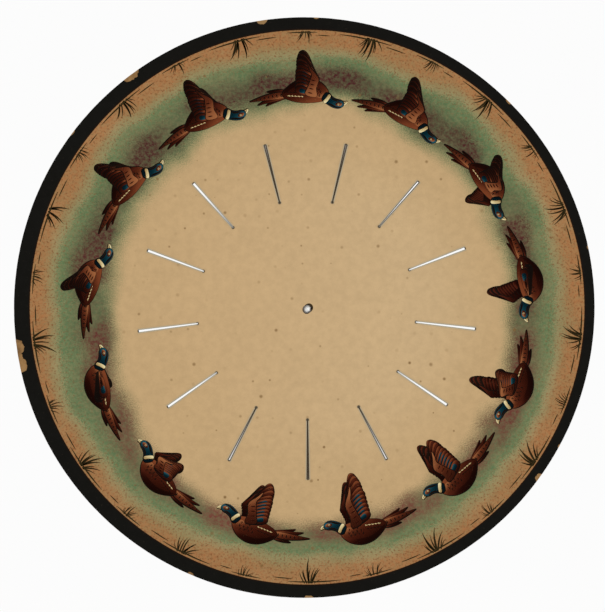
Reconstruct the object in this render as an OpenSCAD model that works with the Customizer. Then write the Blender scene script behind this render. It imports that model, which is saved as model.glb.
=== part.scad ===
// Hand-spun animation disc: a slit picture disc that turns on a spindle at the end of a turned handle.
// The origin is on the spindle axis, at the flat end of the handle. +Z points out of the printed face.

/* [Disc] */
// Diameter of the blank, cut from pasteboard
disc_d = 230; // [180:1:300]
// Thickness of the pasteboard core
core_t = 1.4; // [0.8:0.1:3]
// Thickness of the printed paper pasted on the front
print_t = 0.15; // [0.1:0.05:0.4]
// Thickness of the dark paper pasted on the back
lining_t = 0.15; // [0.1:0.05:0.4]
// How far the blank was cut off the spindle axis, to the right
cut_offset_x = -1; // [-3:0.1:3]
// How far the blank was cut off the spindle axis, upwards
cut_offset_y = 0.8; // [-3:0.1:3]

/* [Slits] */
// Number of viewing slits
slit_count = 13; // [8:1:20]
// Width of a slit at its inner end
slit_inner_w = 0.6; // [0.5:0.1:2]
// Width of a slit at its outer end
slit_outer_w = 1.2; // [0.5:0.1:3]
// Length of a slit along the radius
slit_len = 23.6; // [12:0.2:36]
// Distance from the axis to a slit's inner end
slit_inner_r = 43.5; // [34:0.5:60]
// Direction of the first slit, in degrees
slit_first_a = 270.4; // [0:0.1:360]

/* [Hub] */
// Diameter of the hub's glued face
boss_d = 44; // [30:1:60]
// Wood round the bush's flange at the hub's narrow end
boss_lip = 2; // [1:0.2:4]
// Thickness of the hub
boss_t = 12; // [10:0.5:20]
// Height of the straight rim beside the glued face
boss_rim_t = 2; // [1:0.2:3]
// Wall of the bush that is pressed into the hub
bush_wall = 1.7; // [1:0.1:2.5]
// How far the bush's flange stands out of its barrel
bush_flange_w = 2; // [1:0.2:3]
// Thickness of the bush's flange
bush_flange_t = 1.2; // [0.8:0.1:2]

/* [Spindle] */
// Diameter of the spindle
spindle_d = 3.6; // [2.6:0.1:5]
// Depth of the spindle in the handle
spindle_seat = 40; // [25:1:55]
// Depth of the spindle's end below the printed face
tip_depth = 1.7; // [0:0.1:2.2]
// Width of the chamfer on the spindle's ends
tip_chamfer = 0.2; // [0:0.1:0.6]
// Radial gap between the spindle and the hole in the disc
hole_gap = 0.2; // [0.1:0.05:0.6]
// Radial clearance of the spindle in the bush
run_clearance = 0.04; // [0.02:0.01:0.1]
// Axial play between the bush and the collar
end_float = 0.15; // [0.1:0.05:0.4]
// Play under the bush, on the thrust washer
thrust_gap = 0.05; // [0.05:0.05:0.3]
// Wall of the collar that keeps the hub on the spindle
collar_wall = 2.2; // [1.5:0.1:3.5]
// Thickness of the collar
collar_t = 3; // [2:0.2:4]
// Clearance around and over the collar in the hub
collar_gap = 1; // [0.5:0.1:2]
// Diameter of the pin through the collar
collar_pin_d = 1; // [0.6:0.1:1.4]
// Thickness of the thrust washer
washer_t = 0.8; // [0.5:0.1:1.5]
// Radial clearance of the washer on the spindle
washer_gap = 0.1; // [0.05:0.05:0.3]

/* [Handle] */
// Diameter of the straight barrel at the handle's end
barrel_d = 30; // [24:0.5:40]
// Length of the straight barrel
barrel_len = 42; // [25:1:70]
// Radius of the rounded edge at the handle's end
butt_round = 2; // [0.5:0.5:5]
// Diameter of the handle's neck
neck_d = 17; // [14:0.5:22]
// Length over which the barrel narrows to the neck
taper_len = 40; // [20:1:60]
// Diameter of the turned bead under the ferrule
bead_d = 22; // [18:0.5:28]
// Height of the turned bead
bead_h = 5; // [3:0.5:7]
// Diameter of the groove that is scribed above the barrel
groove_d = 1.4; // [0.6:0.2:2.4]
// Diameter of the tenon inside the ferrule
tenon_d = 14; // [12:0.5:18]
// Length of the tenon inside the ferrule
tenon_len = 13; // [9:0.5:20]

/* [Ferrule] */
// Wall of the ferrule
ferrule_wall = 1; // [0.6:0.1:2]
// Thickness of the ferrule's top
ferrule_top_t = 1.5; // [1:0.1:3]
// Diameter of the rolled rim at the ferrule's foot
ferrule_rim_d = 2; // [1.2:0.2:3]
// Number of brads that hold the ferrule
brad_count = 3; // [2:1:6]
// Diameter of a brad
brad_d = 1.4; // [0.8:0.1:2]
// Diameter of a brad's round head
brad_head_d = 2.6; // [2.2:0.1:3.6]
// Height of a brad's head above the ferrule
brad_head_h = 0.6; // [0.3:0.1:1]
// Depth of a brad's head in the ferrule's wall
brad_head_sink = 0.3; // [0.2:0.05:0.5]
// Depth of a brad in the tenon
brad_depth = 3; // [1.5:0.1:3.4]

/* [Hidden] */
$fn = 96;
cut_over = 1;
curve_steps = 16;
arc_steps = 10;

spindle_r = spindle_d / 2;
centre_hole_d = spindle_d + 2 * hole_gap;
bush_bore_d = spindle_d + 2 * run_clearance;
bush_d = bush_bore_d + 2 * bush_wall;
bush_flange_d = bush_d + 2 * bush_flange_w;
boss_neck_d = bush_flange_d + 2 * boss_lip;
collar_d = spindle_d + 2 * collar_wall;
washer_d = bush_flange_d;
barrel_r = barrel_d / 2;
neck_r = neck_d / 2;
tenon_r = tenon_d / 2;
ferrule_r = tenon_r + ferrule_wall;
ferrule_rim_r = ferrule_rim_d / 2;

// Heights, from the handle's end to the printed face
neck_z = barrel_len + taper_len;
shoulder_z = neck_z + bead_h;
tenon_z = shoulder_z + tenon_len;
ferrule_z = tenon_z + ferrule_top_t;
washer_z = ferrule_z + washer_t;
bush_z = washer_z + thrust_gap;
boss_z = bush_z + bush_flange_t;
lining_z = boss_z + boss_t;
core_z = lining_z + lining_t;
print_z = core_z + core_t;
face_z = print_z + print_t;
tip_z = face_z - tip_depth;

// The hub's hollow holds the collar above the bush
recess_d = collar_d + 2 * collar_gap;
recess_depth = end_float + collar_t + collar_gap;
bush_top_z = lining_z - recess_depth;
collar_z = bush_top_z + end_float;
collar_mid_z = collar_z + collar_t / 2;
spindle_foot_z = tenon_z - spindle_seat;
brad_z = shoulder_z + tenon_len / 2;

// Points of an arc round a centre, from one angle to another
function arc(centre, r, from_a, to_a) = [
    for (i = [0 : arc_steps])
        let (a = from_a + (to_a - from_a) * i / arc_steps)
        centre + r * [cos(a), sin(a)]
];

// Points of an S-shaped curve that leaves and arrives parallel to the axis
function ogee(from, to) = [
    for (i = [0 : curve_steps])
        let (t = i / curve_steps)
        [from.x + (to.x - from.x) * (1 - cos(180 * t)) / 2, from.y + (to.y - from.y) * t]
];

// A round hole or rod along the axis
module rod(d, from_z, to_z) {
    translate([0, 0, from_z])
        cylinder(d = d, h = to_z - from_z);
}

// A ring round the axis
module ring(d, bore_d, from_z, to_z) {
    difference() {
        rod(d, from_z, to_z);
        rod(bore_d, from_z - cut_over, to_z + cut_over);
    }
}

// A slit along the radius, which widens outwards
module slit_outline() {
    slit_outer_r = slit_inner_r + slit_len;
    polygon([
        [slit_inner_r, -slit_inner_w / 2],
        [slit_outer_r, -slit_outer_w / 2],
        [slit_outer_r, slit_outer_w / 2],
        [slit_inner_r, slit_inner_w / 2]
    ]);
}

// One layer of the disc: the blank with its hole and its ring of slits
module disc_layer(from_z, t) {
    difference() {
        translate([cut_offset_x, cut_offset_y, 0])
            rod(disc_d, from_z, from_z + t);
        rod(centre_hole_d, from_z - cut_over, from_z + t + cut_over);
        for (k = [0 : slit_count - 1])
            rotate([0, 0, slit_first_a + k * 360 / slit_count])
                translate([0, 0, from_z - cut_over])
                    linear_extrude(t + 2 * cut_over)
                        slit_outline();
    }
}

module face_print() {
    color("burlywood")
        disc_layer(print_z, print_t);
}

module card_core() {
    color("tan")
        disc_layer(core_z, core_t);
}

module back_lining() {
    color("#2b2622")
        disc_layer(lining_z, lining_t);
}

// A turned boss, glued to the lining, hollow on that side for the collar
module hub_boss() {
    rim_z = lining_z - boss_rim_t;
    color("peru")
        difference() {
            rotate_extrude()
                polygon(concat(
                    [[0, boss_z]],
                    ogee([boss_neck_d / 2, boss_z], [boss_d / 2, rim_z]),
                    [[boss_d / 2, lining_z], [0, lining_z]]
                ));
            rod(bush_d, boss_z - cut_over, lining_z);
            rod(recess_d, bush_top_z, lining_z + cut_over);
        }
}

module hub_bush() {
    color("goldenrod")
        difference() {
            union() {
                rod(bush_d, bush_z, bush_top_z);
                rod(bush_flange_d, bush_z, boss_z);
            }
            rod(bush_bore_d, bush_z - cut_over, bush_top_z + cut_over);
        }
}

// The pin's place, across the axis through the collar and the spindle
module collar_pin_rod(len) {
    translate([0, 0, collar_mid_z])
        rotate([0, 90, 0])
            cylinder(d = collar_pin_d, h = len, center = true);
}

module spindle() {
    color("silver")
        difference() {
            rotate_extrude()
                polygon([
                    [0, spindle_foot_z],
                    [spindle_r - tip_chamfer, spindle_foot_z],
                    [spindle_r, spindle_foot_z + tip_chamfer],
                    [spindle_r, tip_z - tip_chamfer],
                    [spindle_r - tip_chamfer, tip_z],
                    [0, tip_z]
                ]);
            collar_pin_rod(spindle_d + 2 * cut_over);
        }
}

module retaining_collar() {
    color("goldenrod")
        difference() {
            ring(collar_d, spindle_d, collar_z, collar_z + collar_t);
            collar_pin_rod(collar_d + 2 * cut_over);
        }
}

module collar_pin() {
    color("silver")
        collar_pin_rod(collar_d);
}

module thrust_washer() {
    color("goldenrod")
        ring(washer_d, spindle_d + 2 * washer_gap, ferrule_z, washer_z);
}

// The brads' places round the ferrule, each along its own radius, with z outwards from the ferrule's wall
module brad_places() {
    for (k = [0 : brad_count - 1])
        rotate([0, 0, k * 360 / brad_count])
            translate([ferrule_r, 0, brad_z])
                rotate([0, 90, 0])
                    children();
}

// A brad with its round head, whose flat back lies in the ferrule's wall
module brad() {
    shank_z = -ferrule_wall - brad_depth;
    head_r = brad_head_d / 2;
    dome_r = (brad_head_h ^ 2 + head_r ^ 2) / (2 * brad_head_h);
    rotate_extrude()
        polygon(concat(
            [
                [0, shank_z],
                [brad_d / 2, shank_z],
                [brad_d / 2, -brad_head_sink],
                [head_r, -brad_head_sink]
            ],
            arc([0, brad_head_h - dome_r], dome_r, acos(head_r / dome_r), 90)
        ));
}

module ferrule_brads() {
    color("goldenrod")
        brad_places()
            brad();
}

// A drawn cap over the tenon, with a rolled rim at its foot
module ferrule() {
    color("goldenrod")
        difference() {
            union() {
                rod(2 * ferrule_r, shoulder_z, ferrule_z);
                rotate_extrude()
                    translate([ferrule_r, shoulder_z + ferrule_rim_r])
                        circle(r = ferrule_rim_r);
            }
            rod(tenon_d, shoulder_z - cut_over, tenon_z);
            rod(spindle_d, tenon_z - cut_over, ferrule_z + cut_over);
            brad_places()
                brad();
        }
}

// The turned grip: a straight barrel, a taper to the neck, a bead, and the tenon for the ferrule
module handle_grip() {
    bead_r = bead_h / 2;
    color("saddlebrown")
        difference() {
            rotate_extrude()
                polygon(concat(
                    [[0, 0]],
                    arc([barrel_r - butt_round, butt_round], butt_round, -90, 0),
                    ogee([barrel_r, barrel_len], [neck_r, neck_z]),
                    arc([bead_d / 2 - bead_r, neck_z + bead_r], bead_r, -90, 90),
                    [[tenon_r, shoulder_z], [tenon_r, tenon_z], [0, tenon_z]]
                ));
            rotate_extrude()
                translate([barrel_r, barrel_len + groove_d / 2])
                    circle(d = groove_d);
            rod(spindle_d, spindle_foot_z, tenon_z + cut_over);
            brad_places()
                brad();
        }
}

face_print();
card_core();
back_lining();
hub_boss();
hub_bush();
spindle();
retaining_collar();
collar_pin();
thrust_washer();
ferrule();
ferrule_brads();
handle_grip();
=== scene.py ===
# %% [markdown]
# # A hand-spun animation disc
# This lesson dresses a slit picture disc that turns on a spindle at the end of a turned wooden handle. The
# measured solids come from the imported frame, in metres, with the handle's end at the origin and the printed
# face looking up along +Z. Every step below makes the looks of one piece and puts it where its solid is, so
# nothing has to be fitted afterwards.

import cmath
import math
from functools import partial

import bpy
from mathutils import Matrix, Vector, geometry, noise


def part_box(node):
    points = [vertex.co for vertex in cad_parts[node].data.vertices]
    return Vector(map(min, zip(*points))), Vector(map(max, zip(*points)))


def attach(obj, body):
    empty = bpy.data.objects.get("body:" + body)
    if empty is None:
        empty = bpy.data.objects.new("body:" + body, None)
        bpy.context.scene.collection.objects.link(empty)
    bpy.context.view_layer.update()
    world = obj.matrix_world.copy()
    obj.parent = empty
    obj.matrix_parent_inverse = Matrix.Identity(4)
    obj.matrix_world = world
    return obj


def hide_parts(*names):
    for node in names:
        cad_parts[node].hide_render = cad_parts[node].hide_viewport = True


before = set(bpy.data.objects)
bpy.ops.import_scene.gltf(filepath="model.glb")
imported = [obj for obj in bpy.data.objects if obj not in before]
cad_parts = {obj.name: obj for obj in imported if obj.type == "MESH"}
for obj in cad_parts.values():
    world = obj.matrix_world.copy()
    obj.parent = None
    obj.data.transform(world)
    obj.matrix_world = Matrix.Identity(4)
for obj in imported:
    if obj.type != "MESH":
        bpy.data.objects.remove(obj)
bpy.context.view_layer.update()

MM = 0.001
face_low, face_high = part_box("face_print")
disc_centre = (face_low + face_high) / 2
disc_radius = min(face_high.x - face_low.x, face_high.y - face_low.y) / 2
face_z = face_high.z
print("solids:", len(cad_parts), " disc radius in mm:", round(disc_radius / MM, 2))

# %% [markdown]
# ## The camera
# The disc was copied flat, from straight above and from far away. A long lens does the same: it keeps the
# slits straight and hides everything behind the disc. One pixel of the picture covers a known length on the
# disc, so the camera's height follows from the lens and the picture's height.

# %% Camera
PICTURE_HEIGHT_PX = 612
MM_PER_PX = 0.396
LENS_MM = 180
SENSOR_MM = 36
VIEW_CENTRE = (-1.68 * MM, 1.41 * MM)
scene = bpy.context.scene


def new_object(name, data):
    """A new object at the scene's origin."""
    made = bpy.data.objects.new(name, data)
    scene.collection.objects.link(made)
    return made


camera_height = PICTURE_HEIGHT_PX * MM_PER_PX * MM * LENS_MM / SENSOR_MM
camera_data = bpy.data.cameras.new("copy_camera")
camera_data.lens = LENS_MM
camera_data.sensor_width = SENSOR_MM
scene.camera = new_object("copy_camera", camera_data)
scene.camera.location = (*VIEW_CENTRE, face_z + camera_height)
scene.view_settings.view_transform = "Standard"
print("camera height above the face in m:", round(camera_height, 3))

# %% [markdown]
# ## Small helpers for node trees
# Shader trees and Geometry Nodes trees are written the same way, so a few helpers serve both. Each adds a
# node to the tree that its inputs belong to, fills those inputs with numbers or links, and hands back an
# output for the next line to use. With them, a tree reads like plain arithmetic.

# %% Nodes and sums


def link(value, socket):
    """Fills a socket with another node's output, or with a plain value."""
    if isinstance(value, bpy.types.NodeSocket):
        socket.id_data.links.new(value, socket)
    else:
        socket.default_value = value


def put(kind, values, tree=None, **settings):
    """Adds a node, fills its inputs by name or number, and gives its outputs."""
    if tree is None:
        tree = next(value.id_data for value in values.values() if isinstance(value, bpy.types.NodeSocket))
    made = tree.nodes.new(kind)
    for name, value in settings.items():
        setattr(made, name, value)
    for key, value in values.items():
        link(value, made.inputs[key])
    return made.outputs


def maths(operation, *terms):
    """A calculation with one or two terms."""
    return put("ShaderNodeMath", dict(enumerate(terms)), operation=operation)[0]


plus, minus, times, larger = (partial(maths, way) for way in ("ADD", "SUBTRACT", "MULTIPLY", "MAXIMUM"))


def rise(value, low, high):
    """0 below low, 1 above high, and a smooth step between them."""
    return put("ShaderNodeMapRange", {0: value, 1: low, 2: high}, interpolation_type="SMOOTHSTEP")[0]


def fall(value, low, high):
    """1 below low, 0 above high, and a smooth step between them."""
    return minus(1.0, rise(value, low, high))


def spread(value, low, high):
    """Stretches a value from 0 to 1 over another range."""
    return put("ShaderNodeMapRange", {0: value, 3: low, 4: high})[0]


print("sums:", ", ".join(way.args[0].lower() for way in (plus, minus, times, larger)))

# %% [markdown]
# A surface is described by places, noise and colours. The places are in millimetres on the finished piece,
# so every pattern has a real size. Colours are mixed by shares from 0 to 1, one coat over another.

# %% Places, noise and colours


def mapped(place, stretch=(1, 1, 1), shift=(0, 0, 0)):
    """Places that are scaled along each axis and then shifted."""
    return put("ShaderNodeMapping", {"Vector": place, "Scale": stretch, "Location": shift})[0]


def places_mm(tree, depth=1, shift=(0, 0, 0)):
    """Places on the finished piece, in the frame's own axes. A depth of 0 flattens them."""
    return mapped(put("ShaderNodeTexCoord", {}, tree)["Object"], (1 / MM, 1 / MM, depth / MM), shift)


def axes(place):
    return put("ShaderNodeSeparateXYZ", {0: place})


def point(x=0.0, y=0.0, z=0.0):
    return put("ShaderNodeCombineXYZ", {0: x, 1: y, 2: z})[0]


def length(place):
    return put("ShaderNodeVectorMath", {0: place}, operation="LENGTH")[1]


def clouds(place, scale, detail=2.0, roughness=0.5, **mapping):
    """Soft noise from 0 to 1, with so many blotches to a unit of length. The places can be mapped first."""
    place = mapped(place, **mapping) if mapping else place
    values = {"Vector": place, "Scale": scale, "Detail": detail, "Roughness": roughness}
    return put("ShaderNodeTexNoise", values)[0]


def colour(*values):
    """A colour as a paint program gives it, from 0 to 255, in the linear values that shaders use."""
    shares = [value / 255 for value in values]
    linear = [share / 12.92 if share <= 0.04045 else ((share + 0.055) / 1.055) ** 2.4 for share in shares]
    return (*linear, 1.0)


def over(share, under, above, mode="MIX"):
    """One colour over another. Three plain numbers are a paint program's colour, and four a linear one."""
    under, above = (colour(*each) if isinstance(each, tuple) and len(each) == 3 else each
                    for each in (under, above))
    return put("ShaderNodeMix", {0: share, 6: under, 7: above}, data_type="RGBA", blend_type=mode)[2]


def layered(ground, *coats):
    """Lays coats on a ground, each with the share that it covers, its strength there and its colour."""
    for share, strength, tint in coats:
        ground = over(share if strength == 1 else times(share, strength), ground, tint)
    return ground


print("mid grey in linear light:", [round(value, 3) for value in colour(128, 128, 128)])

# %% [markdown]
# An effect that several materials share is a node group, made from a rule: a function of the group's inputs
# that returns its outputs. A material is made from a look: a function that returns the sockets of one
# Principled shader. Values that are the same all over a surface go straight on the shader.

# %% Groups and materials
KINDS = {"value": "Float", "count": "Int", "place": "Vector", "colour": "Color", "shape": "Geometry",
         "material": "Material"}


def new_group(tree_type, name, outputs, **inputs):
    """An empty node group, with the names of its sockets listed by kind, and its two rows of sockets."""
    tree = bpy.data.node_groups.new(name, tree_type)
    for way, sockets in (("OUTPUT", outputs), ("INPUT", inputs)):
        for kind, labels in sockets.items():
            for label in labels.split(", "):
                tree.interface.new_socket(label, in_out=way, socket_type="NodeSocket" + KINDS[kind])
    return tree, tree.nodes.new("NodeGroupInput").outputs, tree.nodes.new("NodeGroupOutput").inputs


def effect(name, rule, outputs, **inputs):
    """A shader group for an effect. Its rule takes the inputs in order and returns the outputs in order."""
    tree, given, gives = new_group("ShaderNodeTree", name, outputs, **inputs)
    results = rule(*[socket for socket in given if socket.name])
    for value, socket in zip(results if isinstance(results, tuple) else (results,), gives):
        link(value, socket)
    return tree


def used(group, **values):
    """The outputs of an effect, with values of its own."""
    return put("ShaderNodeGroup", values, node_tree=group)


def new_material(name, look, *settings):
    """A material by a look, which gives the shader's sockets. A space in a socket's name is written _."""
    material = bpy.data.materials.new(name)
    material.use_nodes = True
    shader = material.node_tree.nodes["Principled BSDF"]
    for key, value in look(material.node_tree, *settings).items():
        link(value, shader.inputs[key.replace("_", " ")])
    print("material:", name, " nodes:", len(material.node_tree.nodes))
    return material


def bumped(height, strength, depth):
    """A normal from a height over the surface, with its depth in millimetres."""
    return put("ShaderNodeBump", {"Height": height, "Strength": strength, "Distance": depth * MM})[0]


print("kinds of sockets:", ", ".join(KINDS))

# %% [markdown]
# ## The floor, the sky and the lamps
# A flat copy has a white ground and even light. The floor and the sky are white to the camera and to
# reflections only, so they put no extra light on the object. Two soft lamps stand left and right at half
# height, and each throws a round shadow of the disc to the other side. Where the two overlap, neither lamp
# reaches the floor. In a fixed oval under the disc that fades into the white around it, the camera sees the
# floor's own shading on a deeper colour than gathered light sees: a painted shadow, so that the object
# keeps its shadow and the slits above it look dark.

# %% Sky and lamps
SKY_LIGHT = 0.40
LAMP_SHARE = 0.30
LAMP_REACH = 0.65
LAMP_RISE = 0.80
LAMP_SIZE = 0.2


def seen_directly(tree):
    """1 for rays from the camera, a reflection or glass, and 0 for light that is being gathered."""
    path = put("ShaderNodeLightPath", {}, tree)
    return larger(path["Is Camera Ray"], larger(path["Is Glossy Ray"], path["Is Transmission Ray"]))


def make_sky():
    world = bpy.data.worlds.new("white_sky")
    scene.world = world
    world.use_nodes = True
    background = world.node_tree.nodes["Background"].inputs
    link((1, 1, 1, 1), background["Color"])
    link(spread(seen_directly(world.node_tree), SKY_LIGHT, 1.0), background["Strength"])


def make_lamp(name, side):
    """A square lamp that looks at the disc's middle and gives it the same share of light at any size."""
    away = Vector((side * LAMP_REACH, 0, LAMP_RISE))
    data = bpy.data.lights.new(name, "AREA")
    data.size = LAMP_SIZE
    data.energy = LAMP_SHARE * math.pi ** 2 * away.length_squared / away.normalized().z
    lamp = new_object(name, data)
    lamp.location = Vector((disc_centre.x, disc_centre.y, face_z)) + away
    lamp.rotation_euler = (-away).to_track_quat("-Z", "Y").to_euler()
    lamp.visible_camera = False
    print(name, "power in W:", round(data.energy, 2))


make_sky()
make_lamp("left_lamp", -1)
make_lamp("right_lamp", 1)

# %% [markdown]
# The floor is a wide ring. Its small hole is hidden under the handle and lets light from the sky reach the
# handle's end.

# %% Floor
FLOOR_RADIUS = 4.0
FLOOR_HOLE = 12.5 * MM
FLOOR_STEPS = 96
FLOOR_PALE = (0.75, 0.74, 0.72, 1)
# The floor's colour to the camera under the disc: a painted shadow.
FLOOR_PAINTED_SHADOW = (0.20, 0.17, 0.13, 1)
GLOW_SHARE = 0.97
SHADOW_REACH = (52, 126)
SHADOW_CORE = 0.55


def circle(radius, steps, z=0.0):
    """Points on a ring round the axis."""
    turns = [math.tau * step / steps for step in range(steps)]
    return [(radius * math.cos(turn), radius * math.sin(turn), z) for turn in turns]


def new_mesh(name, verts, faces, edges=()):
    mesh = bpy.data.meshes.new(name)
    mesh.from_pydata(verts, edges, faces)
    return mesh


def floor_look(tree):
    """White to the camera outside a painted shadow under the disc, pale to gathered light, clear from below.
    """
    seen = seen_directly(tree)
    oval = mapped(places_mm(tree), (1 / SHADOW_REACH[0], 1 / SHADOW_REACH[1], 0))
    glow_share = times(times(rise(length(oval), SHADOW_CORE, 1.0), GLOW_SHARE), seen)
    glow = put("ShaderNodeEmission", {}, tree)[0]
    clear = put("ShaderNodeBsdfTransparent", {}, tree)[0]
    underside = put("ShaderNodeNewGeometry", {}, tree)["Backfacing"]
    shown = tree.nodes["Principled BSDF"].outputs[0]
    for share, shader in ((glow_share, glow), (underside, clear)):
        shown = put("ShaderNodeMixShader", {0: share, 1: shown, 2: shader})[0]
    link(shown, tree.nodes["Material Output"].inputs["Surface"])
    # The camera sees the floor in the painted shadow colour, and gathered light sees it pale.
    return dict(Base_Color=over(seen, FLOOR_PALE, FLOOR_PAINTED_SHADOW), Roughness=0.9, Specular_IOR_Level=0.0)


rings = [(i, i + FLOOR_STEPS) for i in range(FLOOR_STEPS)]
floor_faces = [(a, b, d, c) for (a, b), (c, d) in zip(rings, rings[1:] + rings[:1])]
floor_verts = circle(FLOOR_HOLE, FLOOR_STEPS) + circle(FLOOR_RADIUS, FLOOR_STEPS)
floor = new_object("floor", new_mesh("floor", floor_verts, floor_faces))
floor.data.materials.append(new_material("white_floor", floor_look))

# %% [markdown]
# ## Paper: the shared effects
# All the paper here is old and matt: it has a tooth of matted fibres, and brown specks where damp once sat.
# The print on it is a crayon-and-stone print, so ink breaks up into fine grains and the ground shows
# between them. Both effects are built once as shader groups, and each paper and each ink uses them at its
# own scale.

# %% Paper effects
GRAIN_EDGE = 0.09


def tooth_rule(place):
    """Matted fibres: a height for the bump and a soft share that lightens and darkens the paper."""
    felt = clouds(place, 3.2, 4.0, 0.6)
    along = clouds(place, 1.0, 3.0, 0.6, stretch=(0.5, 5.0, 1))
    across = clouds(place, 1.0, 3.0, 0.6, stretch=(5.0, 0.5, 1), shift=(7, 3, 0))
    height = plus(felt, times(larger(along, across), 0.6))
    blotches = rise(clouds(place, 0.3, 4.0, 0.65, shift=(11, 5, 0)), 0.3, 0.7)
    fine = plus(times(blotches, 0.34), times(felt, 0.5))
    slow = clouds(place, 0.05, 3.0, 0.55)
    return height, minus(plus(fine, times(slow, 0.4)), 0.12)


def grain_rule(place, ink, ground, cover):
    """Ink that breaks up into grains over the ground. Cover is the share of the ground that it hides."""
    level = spread(cover, 0.72, 0.22)
    grains = rise(clouds(place, 2.6, 2.0, 0.6), minus(level, GRAIN_EDGE), plus(level, GRAIN_EDGE))
    return over(grains, ground, ink)


paper_tooth = effect("paper_tooth", tooth_rule, {"value": "Height, Mottle"}, place="Place")
crayon_grain = effect("crayon_grain", grain_rule, {"colour": "Colour"}, place="Place", colour="Ink, Ground",
                      value="Cover")
print("shared effects:", paper_tooth.name, crayon_grain.name)

# %% [markdown]
# ## The printed ground
# The disc's face is buff paper. Towards the rim, soft tints were laid on in crayon: a band of sage green
# with patches of mauve brown, then buff, then orange brown, and a solid black border round the edge. Each
# tint is a share that depends on the distance from the print's own centre, which is a little off the hole,
# as the paper was cut by hand. Noise on that distance makes the bands drift and turns their edges into
# grains.

# %% Tints
PRINT_CENTRE = (0.14, 0.92)
BORDER_RADIUS = 109.8
TINTS = [
    # colour at the top and at the foot, radius where it starts and is full, how much further out that is at
    # the foot, radius where it starts to fade and is gone, least and most share, share between the grains
    ((88, 114, 76), (90, 116, 78), (74.0, 83.5), 5.5, (98.0, 104.0), (0.90, 1.0), 0.82),
    ((72, 24, 30), (112, 60, 50), (79.0, 86.5), 0.5, (90.5, 98.0), (0.42, 1.0), 0.56),
    ((138, 129, 88), (138, 129, 88), (99.0, 102.5), 0.0, (120.0, 121.0), (0.75, 1.0), 0.90),
    ((166, 112, 69), (163, 110, 68), (101.0, 106.0), 0.0, (120.0, 121.0), (0.85, 1.0), 0.60),
]
FOOT_TO_TOP = (-85, 60)
LEFT_TO_RIGHT = (-80, 80)
PAPER_BLEND = (40, 80)
TINT_BLEND = (85, 100)
DOT_REACH = (90, 103)
TINT_STRETCH = (1.025, 0.975, 1)
TINT_SHIFT = (-1.2, 0.8, 0)
DRIFT = 7.0
GRAIN_REACH = 5.5


def tinted(ground, place, radius, height):
    """Crayon tints on the paper, and brown dots over the outer ones."""
    tint_radius = length(mapped(place, TINT_STRETCH, TINT_SHIFT))
    banded = put("ShaderNodeMix", {0: fall(radius, *TINT_BLEND), 2: radius, 3: tint_radius})[0]
    drifting = plus(banded, spread(clouds(place, 0.035, shift=(57, 23, 0)), -DRIFT, DRIFT))
    grainy = plus(drifting, spread(clouds(place, 2.4, 2.0, 0.65), -GRAIN_REACH, GRAIN_REACH))
    for number, (top, foot, starts, further, ends, shares, sparse) in enumerate(TINTS):
        inner = minus(grainy, spread(height, further, 0.0))
        band = minus(rise(inner, *starts), rise(grainy, *ends))
        uneven = clouds(place, 0.05, 1.0, shift=(31 * number, 17, 0))
        strength = spread(rise(uneven, 0.32, 0.58), *shares)
        stone = clouds(place, 0.7, 4.0, 0.75, shift=(13, 29 * number, 0))
        cover = times(strength, spread(rise(stone, 0.35, 0.65), sparse, 1.0))
        ground = layered(ground, (band, cover, over(height, foot, top)))
    dots = rise(clouds(place, 1.1, 3.0, 0.7, shift=(3, 41, 0)), 0.50, 0.68)
    return layered(ground, (times(dots, rise(grainy, *DOT_REACH)), 0.9, (122, 76, 43)))


print("tints:", len(TINTS))

# %% [markdown]
# Over the tints lie the paper's own mottle, the brown specks and, last, the black border with its scuffs.

# %% Printed ground


def specked(ground, place):
    """Brown specks of many sizes, gathered where the paper was damp."""
    place = mapped(place, shift=(64, 135, 0))
    cells = put("ShaderNodeTexVoronoi", {"Vector": place, "Scale": 0.15}, voronoi_dimensions="2D")
    chosen = put("ShaderNodeSeparateColor", {0: cells["Color"]})
    size = spread(chosen[0], 0.05, 0.17)
    spot = fall(cells["Distance"], times(size, 0.2), size)
    damp = rise(clouds(place, 0.05), 0.38, 0.62)
    strength = times(rise(chosen[1], 0.45, 1.1), spread(damp, 0.15, 1.0))
    return layered(ground, (spot, strength, (122, 92, 54)))


def ground_rule(place):
    radius = length(place)
    x, y, _ = axes(place)
    paper = over(rise(x, *LEFT_TO_RIGHT), (195, 163, 119), (200, 171, 129))
    paper = over(rise(radius, *PAPER_BLEND), paper, (192, 161, 117))
    ground = tinted(paper, place, radius, rise(y, *FOOT_TO_TOP))
    mottle = used(paper_tooth, Place=place)["Mottle"]
    shade = over(mottle, (0.86, 0.86, 0.86, 1), (1.13, 1.13, 1.13, 1))
    ground = specked(over(1.0, ground, shade, "MULTIPLY"), place)
    uneven = plus(radius, spread(clouds(place, 2.0), -0.12, 0.12))
    border = rise(uneven, BORDER_RADIUS - 0.1, BORDER_RADIUS + 0.1)
    scuffs = rise(clouds(place, 0.9, 4.0, 0.7, shift=(5, 9, 0)), 0.60, 0.80)
    black = over(scuffs, (14, 13, 10), (46, 40, 31))
    black = over(rise(radius, BORDER_RADIUS, BORDER_RADIUS + 0.9), (26, 13, 6), black)
    return over(border, ground, black)


printed_ground = effect("printed_ground", ground_rule, {"colour": "Colour"}, place="Place")
print("effect:", printed_ground.name, " nodes:", len(printed_ground.nodes))

# %% [markdown]
# The slits were struck with a chisel-like punch. Its edges bruised the paper pale, and the card has frayed
# into the slits. The dark at the two ends of each slit is painted shade from its end walls, and the slits
# that lie across the lamps' light are painted dark inside, as shade. An effect that knows the rule of the
# slits works out how far each place is from the nearest one: it folds the disc into one sector, so that only
# one slit is measured.

# %% Slit edges
SLIT_COUNT = 13
SLIT_FIRST = math.radians(270.4)
SLIT_INNER_RADIUS = 43.5 * MM
SLIT_LENGTH = 23.6 * MM
SLIT_INNER_WIDTH = 0.6 * MM
SLIT_OUTER_WIDTH = 1.2 * MM
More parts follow.
